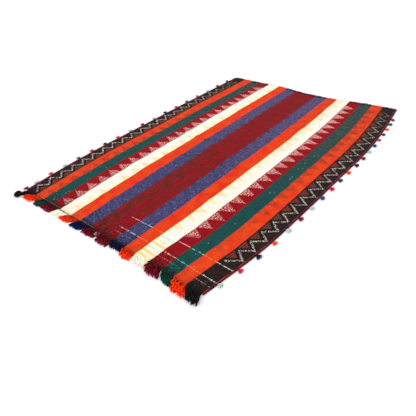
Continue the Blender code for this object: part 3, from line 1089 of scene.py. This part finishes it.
# How each stripe's loose ends lie, from the seam outward: how far they reach, how far their
# tips lean, how much they draw together, how wide they curl and how high they pile.
CRUMPLED = (
    Lobe(0.058, 0.008, -0.05, 0.0040, 0.010),
    Lobe(0.043, 0.008, 0.05, 0.0030, 0.006),
    Lobe(0.060, 0.013, 0.08, 0.0038, 0.009),
    Lobe(0.054, 0.016, 0.05, 0.0018, 0.003),
    Lobe(0.060, 0.026, -0.05, 0.0056, 0.012),
    Lobe(0.056, 0.038, 0.08, 0.0030, 0.005),
    Lobe(0.069, 0.044, 0.00, 0.0060, 0.013),
    Lobe(0.065, 0.038, 0.24, 0.0050, 0.014),
)
COMBED = (
    Lobe(0.052, -0.014, 0.00, 0.0022, 0.006),
    Lobe(0.058, -0.027, 0.04, 0.0018, 0.006),
    Lobe(0.053, -0.040, 0.06, 0.0022, 0.008),
    Lobe(0.057, -0.032, 0.20, 0.0018, 0.005),
    Lobe(0.057, -0.031, -0.06, 0.0020, 0.006),
    Lobe(0.060, -0.028, 0.28, 0.0018, 0.006),
    Lobe(0.060, -0.050, 0.02, 0.0020, 0.010),
    Lobe(0.054, -0.036, 0.88, 0.0010, 0.007),
)
CROPPED = (Lobe(0.012, 0.000, 0.05, 0.0008, 0.003),) * len(STRIPES)

Layer = namedtuple("Layer", "locks strands thickness turns twists curl pile reach steps crest")
COMBED_LAYERS = (
    Layer(10, 12, 0.0050, 0.6, 0.4, 0.5, 0.4, 0.95, 9, 1.4),
    Layer(5, 9, 0.0028, 1.6, 1.8, 1.3, 1.2, 1.00, 12, 1.4),
)
CRUMPLED_LAYERS = (
    Layer(8, 12, 0.0048, 1.2, 0.6, 0.35, 0.25, 0.94, 9, 0.8),
    Layer(7, 8, 0.0030, 2.1, 1.8, 1.00, 1.00, 1.00, 16, 0.8),
)
CROPPED_LAYERS = (Layer(9, 12, 0.0026, 0.5, 0.5, 1.0, 1.0, 1.00, 4, 0.8),)

FringeLook = namedtuple("FringeLook", "panel end lobes layers ragged yarn facets")
FRINGE_LOOKS = (
    FringeLook(PANELS[0], NEAR, COMBED, COMBED_LAYERS, 0.09, 0.00115, 6),
    FringeLook(PANELS[1], NEAR, CRUMPLED, CRUMPLED_LAYERS, 0.11, 0.00130, 6),
    FringeLook(PANELS[0], FAR, CROPPED, CROPPED_LAYERS, 0.45, 0.00120, 4),
    FringeLook(PANELS[1], FAR, CROPPED, CROPPED_LAYERS, 0.45, 0.00120, 4),
)


def lay_lock(skein, look, layer, number, lock, rng):
    """One lock of a stripe's loose ends, from its warp yarns in the weave to its tip."""

    def woven_end(share):
        """Underside of the weave's end, at a share of this stripe's width."""
        return cloth_point(look.panel.side, stripe_share(number + share), look.end)

    lobe = look.lobes[number]
    outward = -1 if look.end == NEAR else 1
    roots = []
    for strand in range(layer.strands):
        root = woven_end((lock + (strand + rng.uniform(0.2, 0.8)) / layer.strands) / layer.locks)
        root.y -= outward * FRINGE_ROOT
        root.z += CLOTH * rng.uniform(0.2, 0.9)
        roots.append(root)
    heart = woven_end(0.5)
    start = woven_end((lock + 0.5) / layer.locks)
    start.z += CLOTH / 2
    out = abs(2 * (lock + 0.5) / layer.locks - 1)
    reach = lobe.reach * layer.reach * (1 - look.ragged * out**2 * rng.random())
    reach *= rng.uniform(1 - look.ragged, 1.03)
    tip = Vector((start.x + lobe.lean + lobe.gather * (heart.x - start.x), 0.0, look.yarn))
    tip.x += rng.uniform(-0.002, 0.002)
    tip.y = start.y + outward * reach
    tip.z += 0.3 * lobe.pile * layer.pile * rng.random()
    lift = lobe.pile * layer.pile * rng.uniform(0.4, 1.0)
    curl = lobe.curl * layer.curl * rng.uniform(0.6, 1.2)
    turns = layer.turns * rng.uniform(0.75, 1.25)
    path = loose_end(start, tip, lift, curl, turns, rng, layer.steps, look.yarn, layer.crest)
    for points in plied_lock(path, roots, layer.thickness, layer.twists, rng, look.yarn):
        lay_loose_end(skein, points, number)


def make_fringe(look):
    """The loose warp ends at one end of a panel, in locks that follow their stripe's lobe."""
    end_word = "near" if look.end == NEAR else "far"
    name = f"warp_ends_{end_word}_{look.panel.word}"
    rng = random.Random(name)
    materials = [FRINGE_WOOLS[end_word][stripe.name] for stripe in STRIPES]
    skein = new_skein(name, materials, look.yarn, look.facets)
    for layer in look.layers:
        for number in range(len(STRIPES)):
            for lock in range(layer.locks):
                lay_lock(skein, look, layer, number, lock, rng)
    fringe = finish_skein(skein)
    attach(fringe, "root")
    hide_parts(f"fringe_{end_word}_{look.panel.word}")
    return fringe


KNOT_HEART = Vector((-0.652, -1.007, 0.0110))
KNOT_HALF = Vector((0.0180, 0.0255, 0.0093))  # half its size along its own axes
KNOT_TURN = Matrix.Rotation(math.radians(45), 3, "Z")
KNOT_YARN = 0.0016
KNOT_WINDS, KNOT_TURNS, KNOT_POINTS = 8, 3, 40


def make_corner_knot():
    """The black ends at the near left corner, wound into a round knot."""
    rng = random.Random("corner_knot")
    skein = new_skein("corner_knot_left", [FRINGE_WOOLS["near"]["black_brown"]], KNOT_YARN)
    for _ in range(KNOT_WINDS):
        axis = Vector([rng.gauss(0, 1) for _ in range(3)]).normalized()
        across = axis.orthogonal().normalized()
        other = axis.cross(across)
        points = []
        for step in range(KNOT_POINTS):
            turn = math.tau * KNOT_TURNS * step / (KNOT_POINTS - 1)
            high = 0.75 * math.sin(math.tau * step / (KNOT_POINTS - 1))
            wide = math.sqrt(1 - high**2)
            spot = axis * high + (across * math.cos(turn) + other * math.sin(turn)) * wide
            points.append(KNOT_HEART + KNOT_TURN @ Vector(a * b for a, b in zip(spot, KNOT_HALF)))
        lay_yarn(skein, points)
    knot = finish_skein(skein)
    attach(knot, "root")


TASSEL_YARN = 0.00095
TASSEL_STRANDS = 30
TASSEL_SPREAD = math.radians(50)  # how far the outer ends turn to each side
NECK_WINDS, NECK_POINTS = 3, 8


def make_tassel(node, slot):
    """A wool tassel: a bound neck against the cord and a fan of ends that lie on the floor."""
    rng = random.Random(node)
    low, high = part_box(node)
    side = RIGHT if low.x > 0 else LEFT
    neck = Vector((low.x if side == RIGHT else high.x, (low.y + high.y) / 2, 0.0))
    name = node.replace("tassel", "wool_tassel")
    skein = new_skein(name, [TASSEL_WOOLS[slot]], TASSEL_YARN, facets=4)
    for strand in range(TASSEL_STRANDS):
        turn = TASSEL_SPREAD * (2 * (strand + rng.random()) / TASSEL_STRANDS - 1)
        length = (high.x - low.x) * rng.uniform(0.84, 1.0)
        outward = Vector((side * math.cos(turn), math.sin(turn), 0.0))
        root = neck + Vector((0.0, 0.0022 * math.sin(turn), rng.uniform(0.0015, 0.0045)))
        tip = neck + outward * length
        tip.z = rng.uniform(0.001, 0.0075)
        lift = rng.uniform(0.0, 0.0035)
        lay_loose_end(skein, loose_end(root, tip, lift, 0.0005, 1.2, rng, 5, TASSEL_YARN))
    for wind in range(NECK_WINDS):
        x = neck.x + side * (0.0012 + 0.0014 * wind)
        turns = [math.tau * step / NECK_POINTS for step in range(NECK_POINTS + 1)]
        lay_yarn(
            skein,
            [(x, neck.y + 0.0034 * math.cos(turn), 0.0038 + 0.0027 * math.sin(turn)) for turn in turns],
        )
    tassel = finish_skein(skein)
    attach(tassel, "root")
    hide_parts(node)
    return tassel


TUFT_YARN = 0.0009
TUFT_STRANDS = 26
TUFT_TURN, TUFT_SPREAD = -99, 30  # degrees from +X
TUFT_WOOLS = ("tassel_navy", "tassel_pink", "tassel_mint")
TUFT_ORDER = (0, 1, 0, 1, 2)  # how the wools follow each other


def make_seam_tuft():
    """The seam thread's small knotted tuft in several colours."""
    rng = random.Random("seam_tuft")
    low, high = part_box("seam_tuft")
    wools = [TASSEL_WOOLS[name] for name in TUFT_WOOLS]
    skein = new_skein("seam_thread_tuft", wools, TUFT_YARN, facets=4)
    knot = Vector(((low.x + high.x) / 2 + 0.002, high.y, 0.006))
    for strand in range(TUFT_STRANDS):
        turn = math.radians(TUFT_TURN + rng.uniform(-TUFT_SPREAD, TUFT_SPREAD))
        length = (high.y - low.y) * rng.uniform(0.7, 1.0)
        tip = knot + Vector((math.cos(turn), math.sin(turn), 0.0)) * length
        tip.z = rng.uniform(0.004, 0.015)
        lift = rng.uniform(0.006, 0.012)
        points = loose_end(knot, tip, lift, 0.0016, 1.6, rng, 8, TUFT_YARN)
        lay_loose_end(skein, points, TUFT_ORDER[strand % len(TUFT_ORDER)])
    tuft = finish_skein(skein)
    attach(tuft, "root")
    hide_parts("seam_tuft")


SEAM_STITCH = 0.009  # from one stitch to the next
STITCH_YARN = 0.0004
STITCH_HALF = 0.0045  # how far a stitch reaches over each panel
STITCH_RISE = 0.0003  # how far its middle stands above its ends


def make_seam_stitches():
    """Slanting stitches of dark red wool that draw the two panels together."""
    rng = random.Random("seam_stitches")
    red = make_yarn_material("seam_thread", "seam_red", contrast=0.3)
    skein = new_skein("seam_stitches", [red], STITCH_YARN, facets=4)
    count = round(CLOTH_LENGTH / SEAM_STITCH)
    lean = SEAM_STITCH * 0.45 / CLOTH_LENGTH
    for stitch in range(count):
        along = (stitch + 0.5) / count
        half = STITCH_HALF * rng.uniform(0.8, 1.15)
        points = []
        for t in (-1.0, -0.5, 0.0, 0.5, 1.0):
            side = RIGHT if t > 0 else LEFT
            point = cloth_point(side, abs(t) * half / CLOTH_WIDTH, along + lean * t)
            point.z += CLOTH + STITCH_RISE * (1 - t * t) - STITCH_RISE
            points.append(point)
        lay_yarn(skein, points)
    stitches = finish_skein(skein)
    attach(stitches, "root")


TwinedRow = namedtuple("TwinedRow", "inside radius sway first last height thickness number")
TWINED_ROWS = (
    TwinedRow(-0.0016, 0.0009, 0.0005, 0.010, 0.995, 0.0040, 0.75, 0),
    TwinedRow(-0.0056, 0.0009, 0.0010, 0.180, 0.720, 0.0050, 0.75, 0),
    TwinedRow(0.0070, 0.0004, 0.0016, 0.100, 0.810, 0.0026, 0.42, 1),
)
TWINING_YARN = 0.0010
TWINING_STEPS = 460
TWIST_STEPS, SWAY_STEPS = 9, 21  # points on one turn of a twined row, and on one sway of its line


def make_twining():
    """Dark twined rows that bind the near end of the left panel, and a thin looped thread."""
    dark = make_yarn_material("twining_dark", "twining", grain=0.010)
    pale = make_yarn_material("twining_pale", "loop_thread", contrast=0.7, grain=0.012)
    skein = new_skein("end_twining_left", [dark, pale], TWINING_YARN)
    for row in TWINED_ROWS:
        for start in (0.0, math.pi):
            points = []
            for step in range(TWINING_STEPS + 1):
                across = row.first + (row.last - row.first) * step / TWINING_STEPS
                point = cloth_point(LEFT, across, NEAR)
                angle = start + math.tau * step / TWIST_STEPS
                drift = row.sway * math.sin(math.tau * step / SWAY_STEPS)
                point.y += row.inside + drift + row.radius * math.cos(angle)
                point.z += row.height + row.radius * math.sin(angle)
                points.append(point)
            lay_yarn(skein, points, row.number, [row.thickness] * len(points))
    twining = finish_skein(skein)
    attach(twining, "root")


# ---------------------------------------------------------------- the studio

FLOOR_REACH = 30.0
FLOOR_GREY, FLOOR_PALER = (0.93, 0.93, 0.93, 1.0), (0.95, 0.95, 0.95, 1.0)


def make_floor():
    bm = bmesh.new()
    bmesh.ops.create_grid(bm, x_segments=2, y_segments=2, size=FLOOR_REACH)
    mesh = bpy.data.meshes.new("studio_floor")
    bm.to_mesh(mesh)
    bm.free()
    material = bpy.data.materials.new("pale_floor")
    material.use_nodes = True
    bench = Bench(material.node_tree)
    sockets = material.node_tree.nodes["Principled BSDF"].inputs
    cloud = bench.node("TexCoord")["Object"].grain(0.8, 0.8, 0.8, seed=31)
    bench.put(sockets["Base Color"], bench.mix(cloud, FLOOR_GREY, FLOOR_PALER))
    bench.put(sockets["Roughness"], cloud.scaled(0.06, 0.90))
    sockets["Specular IOR Level"].default_value = 0.1
    mesh.materials.append(material)
    floor = new_object("studio_floor", mesh)


def make_lights():
    """A white surround and one very soft key from behind the rug's left side."""
    world = bpy.data.worlds.new("studio")
    world.use_nodes = True
    backdrop = world.node_tree.nodes["Background"]
    backdrop.inputs["Color"].default_value = WHITE
    backdrop.inputs["Strength"].default_value = 0.92
    bpy.context.scene.world = world
    key = bpy.data.lights.new("soft_key", "SUN")
    key.energy = 0.90
    key.angle = math.radians(50)
    turn = (math.radians(38), math.radians(-18), math.radians(-20))
    new_object("soft_key", key).rotation_euler = turn


def make_camera():
    """The camera stands off the near right corner and looks down across the rug."""
    lens = bpy.data.cameras.new("camera")
    lens.lens = 36.27
    lens.sensor_width = 36.0
    lens.clip_end = 100.0
    turn = Matrix.Rotation(math.radians(43.69), 4, "Z")
    tilt = Matrix.Rotation(math.radians(90 - 36.17), 4, "X")
    roll = Matrix.Rotation(math.radians(-5.97), 4, "Z")
    stand = Matrix.Translation((1.4295, -1.7100, 1.2050))
    camera = new_object("camera", lens)
    camera.matrix_world = stand @ turn @ tilt @ roll
    bpy.context.scene.camera = camera


# ---------------------------------------------------------------- putting it together

make_cloth_place_group()
make_weave_group()
make_wool_tone_group()
make_zigzag_group()
make_triangle_group()
make_added_weft_group()
make_lint_group()
make_end_soil_and_shade_group()
make_spun_yarn_group()

FRINGE_WOOLS = {
    end_word: {stripe.name: make_fringe_material(end_word, kind, stripe) for stripe in STRIPES}
    for end_word, kind in (("near", "loose_"), ("far", "cut_"))
}
TASSEL_SLOTS = {
    part["node"]: part["material_slot"]
    for part in frame["record"]["subparts"]
    if part["material_slot"].startswith("tassel_")
}
TASSEL_WOOLS = {
    slot: make_yarn_material(slot, slot, contrast=0.45, grain=0.004)
    for slot in sorted(set(TASSEL_SLOTS.values()))
}

cloths = {panel.word: make_cloth(panel) for panel in PANELS}
selvedges = {panel.word: make_selvedge(panel) for panel in PANELS}
fringes = [make_fringe(look) for look in FRINGE_LOOKS]
tassels = [make_tassel(node, slot) for node, slot in TASSEL_SLOTS.items() if node != "seam_tuft"]
make_seam_tuft()
make_seam_stitches()
make_twining()
make_corner_knot()

for panel in PANELS:
    own = [selvedges[panel.word]]
    own += [piece for piece in fringes + tassels if panel.word in piece.name]

make_floor()
make_lights()
make_camera()
bpy.context.scene.view_settings.view_transform = "Standard"
